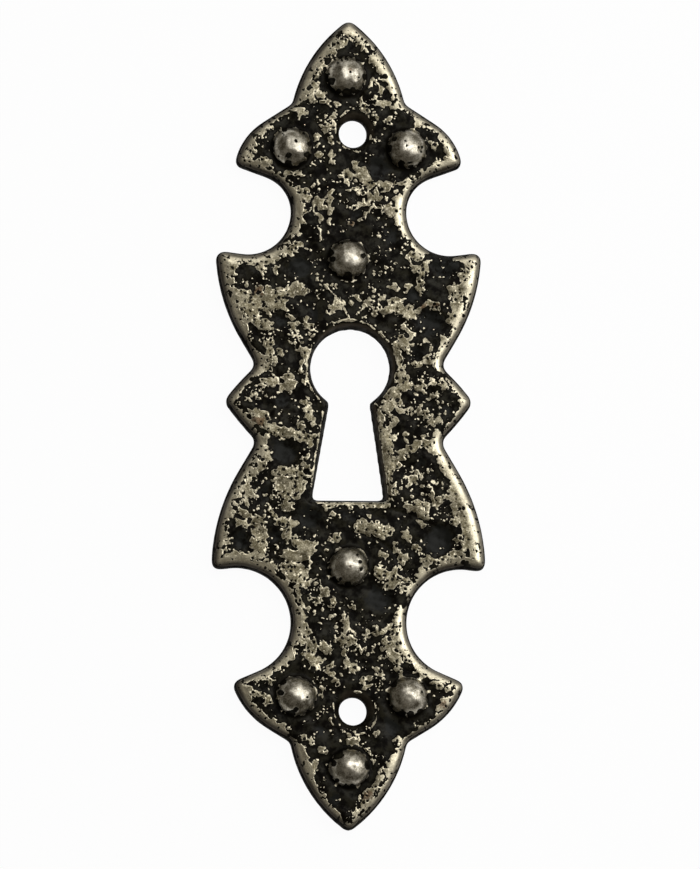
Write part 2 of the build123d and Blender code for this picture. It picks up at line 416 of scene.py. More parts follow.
UPPER_RIGHT_EAR = [
    (329, 309, 342, 305, 2.6), (358, 297, 3), (367, 301, 372, 305, 3), (378, 306, 374, 311, 2.5),
    (381, 296, 3), (394, 306, 408, 310, 8), (406, 315, 6), (415, 311, 437, 306, 4.5), (388, 310, 5),
    (415, 268, 4), (394, 287, 3.5), (417, 287, 424, 271, 4), (424, 271, 426, 258, 5), (408, 289, 3),
    (421, 290, 4), (412, 256, 421, 258, 4), (460, 262, 472, 264, 6), (467, 271, 464, 276, 4),
    (460, 287, 451, 289, 4), (456, 296, 465, 287, 5), (458, 306, 453, 321, 6), (447, 340, 435, 358, 5),
    (439, 258, 446, 262, 2.5),
]
print("patches:", len(UPPER_NECK) + len(UPPER_LEFT_EAR) + len(UPPER_RIGHT_EAR))

# %% Patches round the waist and the keyhole
LEFT_WAIST = [
    (262, 380, 274, 383, 4), (290, 383, 8), (281, 390, 4), (249, 397, 3.5), (258, 397, 2.5),
    (255, 413, 264, 417, 6), (306, 403, 310, 415, 4), (258, 420, 8), (267, 429, 285, 432, 6),
    (285, 432, 304, 437, 7), (308, 416, 312, 421, 5), (312, 436, 310, 445, 3), (264, 439, 4.5),
    (240, 388, 231, 401, 4), (304, 382, 4), (300, 427, 6),
]
RIGHT_WAIST = [
    (403, 340, 405, 346, 6.5), (406, 330, 410, 335, 4), (397, 351, 399, 360, 4), (421, 360, 437, 360, 5),
    (422, 342, 426, 344, 3), (431, 349, 3), (414, 364, 3), (401, 376, 406, 385, 6), (389, 396, 399, 389, 6),
    (389, 406, 8), (399, 410, 5), (419, 389, 6), (426, 396, 435, 396, 4), (430, 381, 3),
    (440, 387, 447, 383, 4.5), (456, 385, 460, 396, 4), (408, 410, 412, 413, 2), (422, 410, 433, 419, 4),
    (430, 423, 438, 420, 4), (399, 404, 4), (405, 434, 3), (437, 436, 440, 443, 5), (394, 421, 5),
    (392, 436, 3),
]
print("patches:", len(LEFT_WAIST) + len(RIGHT_WAIST))

# %% Patches on the lower body
LOWER_LEFT = [
    (264, 452, 269, 457, 5), (255, 459, 4), (276, 471, 299, 473, 5), (281, 484, 299, 484, 9), (287, 496, 7),
    (287, 504, 5), (306, 477, 3), (303, 457, 306, 466, 2.5), (253, 471, 249, 479, 5),
    (246, 489, 251, 493, 5), (246, 500, 3), (239, 511, 246, 514, 4), (271, 511, 278, 523, 3.5),
    (258, 525, 258, 553, 9), (246, 523, 237, 521, 3), (281, 521, 290, 523, 6), (289, 530, 287, 541, 3),
    (278, 543, 4.5), (299, 543, 310, 548, 8), (290, 555, 303, 555, 8), (287, 566, 303, 570, 6),
    (272, 566, 5), (231, 541, 4), (221, 561, 233, 559, 6), (264, 561, 271, 566, 4), (315, 584, 4),
    (262, 466, 6), (298, 495, 4), (308, 558, 4),
]
LOWER_MIDDLE = [
    (334, 514, 4.5), (371, 507, 380, 506, 3), (326, 509, 3), (335, 537, 3.5), (360, 527, 378, 529, 7),
    (367, 518, 4.5), (380, 537, 387, 532, 5), (405, 534, 406, 537, 4), (396, 575, 4),
    (396, 546, 399, 553, 4), (403, 555, 401, 562, 3), (381, 555, 387, 552, 3), (380, 571, 389, 577, 5),
    (389, 577, 396, 571, 4), (406, 580, 389, 584, 4), (421, 571, 5), (327, 503.5, 343, 503.5, 1.3),
    (346, 503.5, 362, 503.5, 1.5), (364, 504.5, 388, 505, 2.5),
]
LOWER_RIGHT = [
    (424, 443, 435, 446, 7), (421, 443, 399, 457, 5), (399, 457, 390, 470, 6), (381, 418, 388, 468, 4),
    (446, 461, 460, 486, 8), (460, 486, 469, 516, 9), (469, 516, 472, 552, 10), (412, 479, 6),
    (417, 471, 4), (431, 496, 439, 500, 4), (402, 460, 5), (395, 493, 4), (452, 490, 456, 512, 5),
    (417, 547, 4), (410, 507, 424, 505, 5), (421, 516, 426, 521, 6), (456, 521, 5), (458, 537, 5),
    (424, 561, 449, 559, 5), (449, 559, 464, 553, 5), (386, 462, 389, 492, 2.5), (380, 412, 381, 430, 3),
]
print("patches:", len(LOWER_LEFT) + len(LOWER_MIDDLE) + len(LOWER_RIGHT))

# %% Patches on the lower neck, wings and finial
LOWER_NECK = [
    (289, 573, 303, 582, 5), (306, 581, 3), (297, 587, 299, 612, 4), (299, 612, 301, 640, 6), (303, 632, 6),
    (312, 645, 6), (308, 657, 317, 663, 6), (326, 649, 5), (331, 666, 4), (328, 673, 4), (317, 602, 4),
    (326, 593, 3.5), (333, 600, 3), (331, 618, 2.5), (343, 618, 346, 632, 4), (342, 640, 351, 638, 6),
    (360, 647, 4), (365, 632, 3), (378, 632, 4), (346, 652, 4), (347, 663, 353, 668, 5), (353, 604, 3),
    (403, 588, 4), (402, 606, 398, 623, 2), (331, 605, 3.5), (398, 668, 4), (389, 627, 3.5),
    (399, 629, 397, 641, 6), (387, 645, 396, 659, 6), (378, 670, 3), (381, 675, 3), (371, 677, 376, 675, 2),
    (362, 681, 3), (367, 687, 3),
]
LOWER_WINGS = [
    (405, 654, 421, 670, 5), (421, 670, 439, 679, 3), (435, 681, 447, 691, 4), (424, 686, 2.5),
    (440, 706, 447, 702, 6), (250, 687, 256, 694, 4), (269, 679, 5), (264, 693, 2), (269, 702, 3),
]
LOWER_FINIAL = [
    (353, 741, 6.5), (330.5, 718.5, 1.9), (332.5, 725, 1.9), (333.5, 731.5, 2.2), (350, 735, 3),
    (338, 682, 3), (366, 750, 3.5), (304, 738, 312, 743, 3), (322, 750, 3.5), (314, 763, 1.5),
    (378, 732, 3), (396, 754, 381, 777, 3), (381, 777, 367, 800, 4), (367, 800, 356, 816, 3.5),
    (328, 807, 3), (354, 815, 360, 811, 3), (371, 793, 365, 797, 5),
]
print("patches:", len(LOWER_NECK) + len(LOWER_WINGS) + len(LOWER_FINIAL))

# %% [markdown]
# Some hollows took the full weight of the patina and no rubbing reached them. They lie where the solid
# model has its hammer marks, and they stay black and smooth. They are dabs too, and take patches away.
# Creases, where one hammer blow folded the edge of another, are thin black strokes. In some areas the
# rubbing left only crumbs of metal in the black: those are the speckled ones. A few flakes of the bare
# metal have gone brown.

# %% Hollows, creases, crumbs and brown spots
HOLLOWS = [
    (379, 168, 12), (315, 106, 7), (438, 262, 9), (398, 187, 6), (301, 268, 12), (357, 213, 8),
    (391, 234, 10), (445, 266, 15), (430, 322, 15), (282, 322, 8), (315, 314, 7), (412, 297, 8),
    (416, 356, 8), (282, 400, 9), (284, 452, 14), (309, 517, 13), (421, 462, 6), (447, 409, 7),
    (344, 515, 362, 514, 5), (439, 541, 17), (240, 538, 11), (276, 538, 7), (264, 492, 8), (380, 599, 14),
    (319, 728, 7), (393, 727, 11), (334, 801, 8),
]
CREASES = [
    (358, 533, 377, 539, 1.4), (377, 539, 395, 553, 1.6), (395, 553, 401, 568, 1.3),
    (392, 509, 414, 516, 1.4), (414, 516, 438, 528, 1.4), (256, 427, 275, 436.5, 1.4),
    (275, 436.5, 296, 442, 1.3), (414, 391, 428, 397, 1.3), (428, 397, 438, 387, 1.2),
]
SPECKLED = [
    (326, 604, 17), (346, 634, 14), (380, 643, 18), (321, 654, 14), (370, 678, 13), (390, 574, 15),
    (375, 300, 13), (385, 244, 9), (324, 283, 13), (258, 500, 24), (420, 490, 22), (384, 266, 13),
    (435, 412, 14), (432, 380, 14), (268, 385, 12), (320, 545, 10), (372, 118, 12), (330, 120, 8),
    (378, 196, 12), (306, 205, 10), (345, 665, 10), (300, 335, 12), (352, 745, 9), (318, 690, 8),
]
BROWN_SPOTS = [
    (260, 289, 6), (423, 306, 437, 306, 3), (258, 420, 6), (443, 704, 6), (368, 795, 6), (352, 223, 4),
    (349.5, 71.5, 3.2), (349.5, 568, 2.8),
]
print("hollows:", len(HOLLOWS), "creases:", len(CREASES), "speckled areas:", len(SPECKLED))

# %% [markdown]
# A dab or a stroke is a disc or a capsule. The depth inside it is its radius less the distance to its
# middle line, so it is above zero inside, zero on the edge and below zero outside. The deepest of all the
# dabs and strokes is the depth of the whole worn area, in millimetres, and it is clipped, because only the
# edge matters. Hollows and creases count the other way, and creases twice, because they are narrow.

# %% Depth inside the worn area
DEPTH_LIMIT = 1.0
CREASE_STEEPNESS = 2


def depth_inside(marks, places):
    """How deep each place lies inside the nearest dab or stroke, in millimetres."""
    deepest = np.full(len(places), -DEPTH_LIMIT)
    for mark in marks:
        start = plate_from_photo(*mark[:2])
        end = plate_from_photo(*mark[-3:-1])
        span = end - start
        offset = places[:, :2] - start
        share = np.clip(offset @ span / max(span @ span, 1e-9), 0, 1)
        from_line = np.linalg.norm(offset - share[:, None] * span, axis=1)
        deepest = np.maximum(deepest, mark[-1] * MM_PER_PIXEL - from_line)
    return np.minimum(deepest, DEPTH_LIMIT)


WORN_PATCHES = [
    *UPPER_FINIAL, *UPPER_WINGS, *UPPER_NECK, *UPPER_LEFT_EAR, *UPPER_RIGHT_EAR, *LEFT_WAIST, *RIGHT_WAIST,
    *LOWER_LEFT, *LOWER_MIDDLE, *LOWER_RIGHT, *LOWER_NECK, *LOWER_WINGS, *LOWER_FINIAL,
]
patch_depth = depth_inside(WORN_PATCHES, places)
hollow_depth = depth_inside(HOLLOWS, places)
brown_depth = depth_inside(BROWN_SPOTS, places)
crease_depth = depth_inside(CREASES, places)
speckled_depth = depth_inside(SPECKLED, places)
worn_depth = np.minimum.reduce([patch_depth, -hollow_depth, -CREASE_STEEPNESS * crease_depth])
print("share of the net inside patches:", round(float((worn_depth > 0).mean()), 3))

# %% [markdown]
# The rim is rubbed nearly everywhere, in a band along the outline that is wider in some places than in
# others, and widest where the outline runs straight along or across the plate. A sum of waves in seeded
# random directions gives the unevenness: it is smooth, and the same at every run. In a few gaps the rim
# stayed black. Where it turns down to the wall it is black again, as the wall is.

# %% Rim
RIM_BAND, RIM_BAND_STRAY = 1.0, 0.28
RIM_BAND_SQUARE = 0.4
RIM_WAVES, RIM_WAVE_SIZES = 40, (2.5, 9.0)
ALONG, ACROSS = (0.8, 0.95), (0.3, 0.5)
LIGHT_SIDE, LIGHT_TURN = (0.8, 0.6), (-0.3, 0.6)
RIM_GAPS = [
    (431, 257, 449, 258.5, 4.5), (434, 266, 455, 267, 7), (467.8, 554.3, 2.2), (462, 561, 468, 565, 1.8),
    (428, 568, 434, 566, 1.8),
]


def lumps(places, waves, sizes, seed):
    """A smooth field, mostly within -2 to 2, made of waves of these sizes in millimetres."""
    draw = np.random.default_rng(seed)
    field = np.zeros(len(places))
    for _ in range(waves):
        angle = draw.uniform(0, 2 * pi)
        pitch = 2 * pi / draw.uniform(*sizes)
        phase = draw.uniform(0, 2 * pi)
        field += np.sin(pitch * (places[:, 0] * cos(angle) + places[:, 1] * sin(angle)) + phase)
    return field / (waves / 2) ** 0.5


facing_up = normals(net)[:, 2]
outward = nearest_of(outer_wall, places) - places[:, :2]
from_outline = np.linalg.norm(outward, axis=1)
outward /= np.maximum(from_outline, 1e-6)[:, None]
sideways = np.abs(outward[:, 0])
to_the_light = ramp(outward @ LIGHT_SIDE, *LIGHT_TURN)
rim_width = RIM_BAND + RIM_BAND_STRAY * lumps(places, RIM_WAVES, RIM_WAVE_SIZES, seed=11)
rim_width += RIM_BAND_SQUARE * np.maximum(ramp(sideways, *ALONG), 1 - ramp(sideways, *ACROSS))
worn_depth = np.maximum(worn_depth, rim_width - from_outline)
worn_depth = np.minimum(worn_depth, -depth_inside(RIM_GAPS, places))
print("rim band, mm:", rim_width.min().round(2), "to", rim_width.max().round(2))

# %% [markdown]
# The walls of the keyhole flare, and each screw hole has a cone at its mouth. Walls and cones stayed black.
# The edge where they meet the face was rubbed to a thin broken line, and at some places to a band.
# Scratches cross the face and shine in the dishes round the studs. All of them are strokes, thinner than
# the patches.

# %% Lines, scratches and bands
MOUTH_LINES = [
    (333, 323, 342, 320, 0.9), (342, 320, 356, 320, 1.0), (356, 320, 368, 324, 0.9),
    (368, 324, 380, 333, 0.8), (380, 333, 389, 342, 0.7), (312, 345, 307, 360, 0.8),
    (307, 360, 307, 378, 0.9), (307, 378, 312, 390, 1.0), (312, 390, 319, 399, 0.8),
    (323, 412, 319.5, 434, 0.7), (319.5, 434, 315, 458, 0.7), (315, 458, 311.5, 486, 0.7),
    (313, 498, 318, 502.5, 0.8), (318, 502.5, 340, 503, 0.7), (340, 503, 361, 503, 1.1),
    (374, 402, 380, 408, 1.0), (336, 124, 335.5, 134, 0.6), (338, 141, 345, 147, 0.7),
    (360, 109.5, 369, 116, 0.8), (333.5, 703, 334, 713, 0.6), (334, 713, 337.5, 724, 0.5),
    (341, 729.5, 349, 734, 0.8), (340, 117, 348, 110.5, 0.9), (348, 110.5, 356, 108.5, 0.7),
    (345, 147, 350, 148.5, 0.7), (354, 150, 358.5, 152, 0.9), (371, 134, 370, 139, 0.6),
    (354, 691.5, 361, 692.5, 0.8), (374.5, 702, 377, 713, 0.8), (377, 713, 376, 720, 0.8),
    (376, 720, 370, 730, 0.9), (357, 734.5, 365, 732.5, 1.0), (347.5, 729, 353, 731.5, 0.7),
    (353, 731.5, 359, 730.5, 0.6),
]
SCRATCHES = [
    (328.6, 195, 328.6, 214, 0.9), (374, 204, 358, 223, 0.7), (361, 204, 354, 211, 0.8),
    (291, 173, 304, 176, 1.0), (313, 200, 313.5, 211.5, 1.0), (320, 229, 321, 240, 1.0),
    (330, 164, 331.5, 150, 1.2), (404, 166, 413.5, 164, 0.8), (356, 162, 353, 168, 1.0),
    (353, 168, 358, 171.5, 1.0), (369, 88, 371, 79, 1.0), (341, 280, 349, 282.5, 0.45),
    (349, 282.5, 357, 280, 0.45), (324, 284.5, 336.5, 296.5, 0.8), (336.5, 296.5, 341.5, 304, 1.0),
    (341.5, 304, 349, 317, 1.1), (343, 300, 345, 305.5, 0.9), (349, 298, 352, 305.5, 0.8),
    (364, 307.5, 358, 313, 0.6), (364, 301.5, 374, 301.5, 1.4), (377, 310.5, 381.5, 306.5, 0.9),
    (381.5, 306.5, 378, 304.5, 0.9), (372, 314, 374, 308, 0.7), (366, 749, 371.5, 756, 0.5),
    (371.5, 756, 374, 765, 0.6), (320, 684, 323, 691, 0.5), (323, 691, 322, 700, 0.5),
]
MOUTH_BANDS = [
    (380, 410, 383, 425, 2.2), (383, 425, 388, 445, 4.5), (388, 445, 391, 466, 5.5),
    (391, 466, 391, 487, 2.5), (361, 504, 391, 501, 2.0), (396, 345, 400, 368, 3.0),
]
print("lines:", len(MOUTH_LINES), "scratches:", len(SCRATCHES), "bands:", len(MOUTH_BANDS))

# %% [markdown]
# A line is so thin that its depth is doubled, or the noise in the material would break it up. The walls
# take bare metal away: the outer ones by how far they face sideways, and the ones in the holes by how deep
# they lie. On the side of the light the bare metal of the rim reaches a little further down, which is
# painted light.

# %% Mouths and walls
MOUTH_EDGE = 0.28
MOUTH_STEEPNESS, LINE_STEEPNESS = 2, 2.0
SIDEWAYS, UPRIGHT, STEEP, LIT_RIM_LEAN = 0.1, 0.48, 0.68, 0.010
TURN_BLACK, WALL_BLACK, HOLE_BLACK = 1.6, 1.5, 2
DEEP_IN_HOLE, NEAR_MOUTH = 1.5, 2.1

from_keyhole = distance_to(keyhole_wall, places)
from_screw_mouth = np.min([np.hypot(places[:, 0] - x, places[:, 1] - y) for x, y in SCREW_PLACES], axis=0)
from_screw_mouth -= SCREW_MOUTH_RADIUS
in_mouth = np.minimum(from_keyhole - MOUTH_EDGE, from_screw_mouth)
worn_depth = np.minimum(worn_depth, MOUTH_STEEPNESS * in_mouth)
# Painted light: on the side of the light the rim keeps its bare metal a little further down.
worn_depth -= TURN_BLACK * (1 - ramp(facing_up + LIT_RIM_LEAN * to_the_light, UPRIGHT, STEEP))
worn_depth -= WALL_BLACK * (1 - ramp(facing_up, SIDEWAYS, UPRIGHT))
deep_in_hole = HOLE_BLACK * (1 - ramp(places[:, 2], DEEP_IN_HOLE, NEAR_MOUTH))
line_depth = LINE_STEEPNESS * depth_inside(MOUTH_LINES + SCRATCHES, places) - deep_in_hole
band_depth = depth_inside(MOUTH_BANDS, places) - deep_in_hole
worn_depth = np.maximum.reduce([worn_depth, line_depth, band_depth])
print("share of the net that is bare, before the studs:", round(float((worn_depth > 0).mean()), 3))

# %% [markdown]
# The studs are bare on top and black at the foot, in a black moat. The edge of each bare cap is uneven, by
# the same kind of waves, and has notches and pits, which are placed one by one: right, down and radius in
# pixels, from the middle of the stud. The lower flank is a little blacker than the upper one, as painted
# shade.

# %% Studs
STUD_NOTCHES = [
    [(0, 18, 5), (-8, 16, 3), (-15, 6, 3.5), (18, 1, 3), (6, 14, 2.5), (0, -17, 2), (3, -3, 1.8)],
    [(-4, 10, 3), (-4, 18, 4), (17, -3, 2.5), (15, 8, 3.5), (-8, -18, 3)],
    [(-1, -1, 1.7), (11, 0, 1.3), (14, 4, 1.3), (17, 11, 3), (-6, 16, 3.5), (3, 17, 3.5), (-19, 0, 4),
     (-13, -9, 2.5)],
    [(15, -3, 2.6), (-16, 1, 2.5), (-1, 18, 4.5), (7, 11, 1), (-18, -6, 3)],
    [(0, 1, 1.3), (8, -11, 1.5), (11, -4, 1.6), (12, 4, 1.8), (-1, 19, 4), (-9, 13, 1.5), (-19, 4, 2)],
    [(-6, 19, 5), (-1, 14, 2.5), (-16, -3, 3), (10, 2, 1), (-15, -16, 5)],
    [(5, -18, 2), (14, -4, 1.5), (-6, 17, 3.5), (3, 18, 3.5), (12, 15, 3), (-15, -13, 4)],
    [(-11, -13, 5), (-16, -4, 3), (19, -3, 5), (3, 21, 4), (-5, 19, 3), (-13, 13, 2), (1, -20, 2),
     (9, -18, 2)],
]
STUD_BARE_RADIUS, STUD_BARE_STRAY, STUD_MOAT_RADIUS = 2.45, 0.12, 2.95
STUD_WAVES, STUD_WAVE_SIZES = 40, (0.7, 2.5)
LOW_FLANK_SHADE, FLANK_REACH = 0.10, (0.4, 2.0)
NOTCH_STEEPNESS, PATCH_INTO_MOAT = 1.5, 0.45

to_stud = nearest_of(np.array(STUD_PLACES), places) - places[:, :2]
from_stud = np.linalg.norm(to_stud, axis=1)
low_flank = ramp(to_stud[:, 1], *FLANK_REACH)
on_moat = from_stud < STUD_MOAT_RADIUS
stud_bare = STUD_BARE_RADIUS + STUD_BARE_STRAY * lumps(places, STUD_WAVES, STUD_WAVE_SIZES, seed=7)
# Painted shade: the bare cap ends a little higher on the lower flank, which is made blacker.
stud_bare -= LOW_FLANK_SHADE * low_flank
notch_depth = np.full(len(places), -DEPTH_LIMIT)
for (stud_x, stud_y), notches in zip(STUD_PLACES, STUD_NOTCHES):
    for right, down, radius in notches:
        across = places[:, 0] - stud_x - right * MM_PER_PIXEL
        along = places[:, 1] - stud_y + down * MM_PER_PIXEL
        notch_depth = np.maximum(notch_depth, radius * MM_PER_PIXEL - np.hypot(across, along))
stud_bare = np.minimum(stud_bare - from_stud, -NOTCH_STEEPNESS * notch_depth)
bare_on_moat = np.maximum.reduce([stud_bare, patch_depth - PATCH_INTO_MOAT, line_depth])
worn_depth = np.where(on_moat, bare_on_moat, worn_depth)
worn_depth = np.clip(worn_depth, -DEPTH_LIMIT, DEPTH_LIMIT)
print("share of the net that is bare:", round(float((worn_depth > 0).mean()), 3))

# %% [markdown]
# ## Relief
#
# The bare patches are the high places of the beaten face, so the relief follows the same depth: a soft step
# up into each patch, a dip in each hollow and crease, and broad lumps and small dents under all of them.
# Real displacement carries this, and only the finest grain is left to the material. Rim, mouths and studs
# keep their form.

# %% Raise the worn patches, sink the hollows
PATCH_RISE, HOLLOW_DIP, CREASE_DIP = 0.08, 0.10, 0.12
LUMP_HEIGHT, LUMP_SIZES, LUMP_WAVES = 0.08, (1.8, 6.0), 80
DENT_HEIGHT, DENT_SIZES = 0.016, (0.8, 1.8)
STUD_LUMP_HEIGHT = 0.015
RIM_LUMP_SHARE, MOUTH_LUMP_SHARE = 0.3, 0.2
FACE_TURN, FACE_HEIGHTS = (0.3, 0.9), (1.2, 2.0)
STUD_CLEAR, RIM_CLEAR, MOUTH_CLEAR = (2.4, 3.2), (0.7, 1.8), (0.0, 0.8)
PATCH_STEP, HOLLOW_STEP, CREASE_STEP = (-0.3, 0.3), (-0.2, 0.8), (-0.25, 0.15)

on_face = ramp(facing_up, *FACE_TURN) * ramp(places[:, 2], *FACE_HEIGHTS)
off_stud = ramp(from_stud, *STUD_CLEAR)
off_rim = ramp(from_outline, *RIM_CLEAR)
off_mouth = ramp(in_mouth, *MOUTH_CLEAR)
rise = PATCH_RISE * ramp(worn_depth, *PATCH_STEP) - HOLLOW_DIP * ramp(hollow_depth, *HOLLOW_STEP)
rise -= CREASE_DIP * ramp(crease_depth, *CREASE_STEP)
rise = rise * off_rim * off_mouth * off_stud
lump_share = RIM_LUMP_SHARE + (1 - RIM_LUMP_SHARE) * off_rim
lump_height = STUD_LUMP_HEIGHT + (LUMP_HEIGHT - STUD_LUMP_HEIGHT) * off_stud * lump_share
lump_height *= MOUTH_LUMP_SHARE + (1 - MOUTH_LUMP_SHARE) * off_mouth
rise += lump_height * lumps(places, LUMP_WAVES, LUMP_SIZES, seed=4)
rise += DENT_HEIGHT * lumps(places, LUMP_WAVES, DENT_SIZES, seed=5) * off_mouth * off_rim
places += (on_face * rise)[:, None] * normals(net)
set_corners(net, places)
print("relief, mm:", round(float((on_face * rise).min()), 3), "to", round(float((on_face * rise).max()), 3))

# %% [markdown]
# What the material has to know of each place goes with the net as attributes. First come the depths from
# above, how smoothly the place was polished, and how light its metal is made: the rim most, as burnish, and
# more where it turns to the light, as a painted highlight; the tops of the studs well and their sides
# little, partly as burnish and partly as painted highlight and shade.

# %% Depths, polish, burnish and painted highlight
RIM_BURNISH, LIT_RIM_HIGHLIGHT = 0.68, 0.12
STUD_TOP_BURNISH_AND_HIGHLIGHT, STUD_SIDE_BURNISH = 0.42, 0.05
BAND_POLISH = 0.8
SPECKLED_STEP, BAND_STEP = (-0.5, 0.5), (-0.05, 0.2)
RIM_POLISHED, STUD_POLISHED, BESIDE_STUD = (0.8, 1.5), (2.3, 2.7), (3.0, 3.6)
RIM_BURNISHED, STUD_TOP = (0.8, 1.8), (0.2, 1.6)


def store(mesh, name, values):
    mesh.attributes.new(name, "FLOAT", "POINT").data.foreach_set("value", values.astype(np.float32))


store(net, "worn_depth", worn_depth)
store(net, "hollow_depth", hollow_depth)
store(net, "brown_depth", brown_depth)
store(net, "speckled", ramp(speckled_depth, *SPECKLED_STEP) * off_stud * off_mouth)
on_rim = 1 - ramp(from_outline, *RIM_POLISHED)
on_stud = 1 - ramp(from_stud, *STUD_POLISHED)
on_band = BAND_POLISH * ramp(band_depth, *BAND_STEP)
store(net, "polish", np.maximum.reduce([on_rim, on_stud, on_band]))
store(net, "on_stud", on_stud)
# Partly painted: the tops of the studs are made lighter and their sides darker, as burnish and as painted
# highlight and shade.
stud_burnish_and_highlight = STUD_SIDE_BURNISH + STUD_TOP_BURNISH_AND_HIGHLIGHT * (1 - ramp(from_stud, *STUD_TOP))
# Painted highlight: the rim is made lighter where it turns to the light.
rim_burnish_and_highlight = RIM_BURNISH + LIT_RIM_HIGHLIGHT * to_the_light
rim_burnish_and_highlight = rim_burnish_and_highlight * (1 - ramp(from_outline, *RIM_BURNISHED))
store(net, "burnish_and_highlight", rim_burnish_and_highlight + stud_burnish_and_highlight * on_stud)
store(net, "near_stud", 1 - ramp(from_stud, *BESIDE_STUD))
print("polished share of the net:", round(float((on_rim + on_stud > 0.5).mean()), 3))

# %% [markdown]
# Then come the places with a black of their own. Walls are sooty and painted darker as shade, and the
# crevices at the feet of the studs are painted black as shade. The lips of the holes that face the lower
# left carry painted light, a lighter brown that grows toward the mouth, the keyhole's more than the screw
# holes'. The rim is painted darker as shade where it turns steep, less on the side of the light. On the
# rim, on the studs and along mouths and lines the edge of the black runs calmly, while it is ragged
# elsewhere.

# %% Walls, lips, painted light and shade, and calm edges
LIP_SIDE, LIP_HEIGHTS, LIP_REACH = (-0.5, -0.85), (0.9, 2.3), 0.2
SCREW_LIP_SHARE = 0.4
STEEP_SHADE_UP_TO, LIT_RIM_SHARE = 0.92, 0.15
HOLE_STEP, LIP_TURN, LINE_STEP = (-0.5, -0.1), (0.0, 0.4), (-0.3, 0.0)
CREVICE_SHADE_REACH, MOUTH_CALM, OUTLINE_CALM = (2.1, 2.5), (0.1, 0.5), (0.55, 0.85)
STUD_CALM, STUD_CALM_REACH = 0.9, (2.6, 3.0)

on_wall = 1 - ramp(facing_up, UPRIGHT, STEEP)
in_hole = 1 - ramp(in_mouth, *HOLE_STEP)
store(net, "wall", np.maximum(on_wall, in_hole))
turned_down_left = ramp(normals(net)[:, :2] @ LIP_SIDE, *LIP_TURN)
round_keyhole = 1 - ramp(from_keyhole - MOUTH_EDGE, 0.0, LIP_REACH)
round_screws = SCREW_LIP_SHARE * (1 - ramp(from_screw_mouth, 0.0, LIP_REACH))
# Painted light: the hole walls that face the lower left are made a lighter brown, more toward the mouth.
lit_hole_wall = np.maximum(round_keyhole, round_screws) * ramp(places[:, 2], *LIP_HEIGHTS) * turned_down_left
store(net, "lit_hole_wall", lit_hole_wall)
# Painted shade: the rim is made darker where it turns steep, less on the side that faces the light.
steep_rim_shade = (1 - ramp(facing_up, STEEP, STEEP_SHADE_UP_TO)) * on_rim * (1 - LIT_RIM_SHARE * to_the_light)
store(net, "steep_rim_shade", steep_rim_shade)
# Painted shade: the crevices at the feet of the studs are made black as shade.
store(net, "crevice_shade", (1 - off_stud) * ramp(from_stud, *CREVICE_SHADE_REACH))
on_line = ramp(line_depth, *LINE_STEP)
at_mouth = 1 - ramp(in_mouth, *MOUTH_CALM)
at_outline = 1 - ramp(from_outline, *OUTLINE_CALM)
at_stud = STUD_CALM * (1 - ramp(from_stud, *STUD_CALM_REACH))
store(net, "calm", np.maximum.reduce([at_mouth, at_outline, at_stud, on_band, on_line]))
print("attributes:", [item.name for item in net.attributes if item.data_type == "FLOAT"])

# %% [markdown]
# With its attributes the net becomes the one piece of the model, in metres and shaded smooth.

# %% The skin piece
set_corners(net, places * MM)
for face in net.polygons:
    face.use_smooth = True
skin = bpy.data.objects.new("escutcheon_skin", net)
scene.collection.objects.link(skin)
print("skin:", len(net.polygons), "faces")

# %% [markdown]
# ## Materials
#
# Two materials cover the casting: the rubbed patina on everything that shows when it hangs, and the dull
# skin of the casting on its back. Both have the fine grain that sand or a die leaves in metal, so that
# grain is a node group with its own size and depth in each.

# %% Cast grain, a group for both materials
def new_group(name, inputs, outputs):
    group = bpy.data.node_groups.new(name, "ShaderNodeTree")
    for socket, kind in inputs:
        group.interface.new_socket(socket, in_out="INPUT", socket_type=kind)
    for socket, kind in outputs:
        group.interface.new_socket(socket, in_out="OUTPUT", socket_type=kind)
    return group, group.nodes.new("NodeGroupInput"), group.nodes.new("NodeGroupOutput")


FLOAT, VECTOR = "NodeSocketFloat", "NodeSocketVector"
TONES_PER_MM = 0.35
grain_group, grain_in, grain_out = new_group(
    "cast_grain", [("Place", VECTOR), ("Grains per mm", FLOAT)], [("Height", FLOAT), ("Tone", FLOAT)]
)
fine = add_node(grain_group, "TexNoise", {
    "Vector": grain_in.outputs["Place"], "Scale": grain_in.outputs["Grains per mm"],
    "Detail": 3.0, "Roughness": 0.6,
})
broad = add_node(grain_group, "TexNoise", {
    "Vector": grain_in.outputs["Place"], "Scale": TONES_PER_MM, "Detail": 4.0,
})
grain_group.links.new(fine.outputs[0], grain_out.inputs["Height"])
grain_group.links.new(broad.outputs[0], grain_out.inputs["Tone"])
print("group:", grain_group.name)

# %% [markdown]
# A material is a long chain of nodes. These short helpers add the usual links of that chain to whichever
# material is being made: a noise of a size in millimetres, a soft step, clusters, which are a noise with
# such a step, and a blend of two colours.

# %% Helpers for the materials
def attribute(name):
    return add_node(tree, "Attribute", attribute_name=name).outputs["Fac"]


def place_in_millimetres():
    where = add_node(tree, "TexCoord").outputs["Object"]
    return add_node(tree, "VectorMath", {0: where, 1: (1 / MM,) * 3}, operation="MULTIPLY").outputs[0]


def noise(size, detail=4.0, roughness=0.6):
    """Noise about zero, with lumps of this size in millimetres."""
    made = add_node(tree, "TexNoise", {
        "Vector": place, "Scale": 1 / size, "Detail": detail, "Roughness": roughness,
    })
    return calc(tree, "SUBTRACT", made.outputs[0], 0.5)


def step_up(value, start, end):
    made = add_node(tree, "MapRange", {"Value": value, "From Min": start, "From Max": end},
                    interpolation_type="SMOOTHSTEP")
    return made.outputs[0]


def clusters(size, detail, start, end):
    """Noise of this size that rises from 0 to 1 between two of its heights."""
    return step_up(noise(size, detail), start, end)


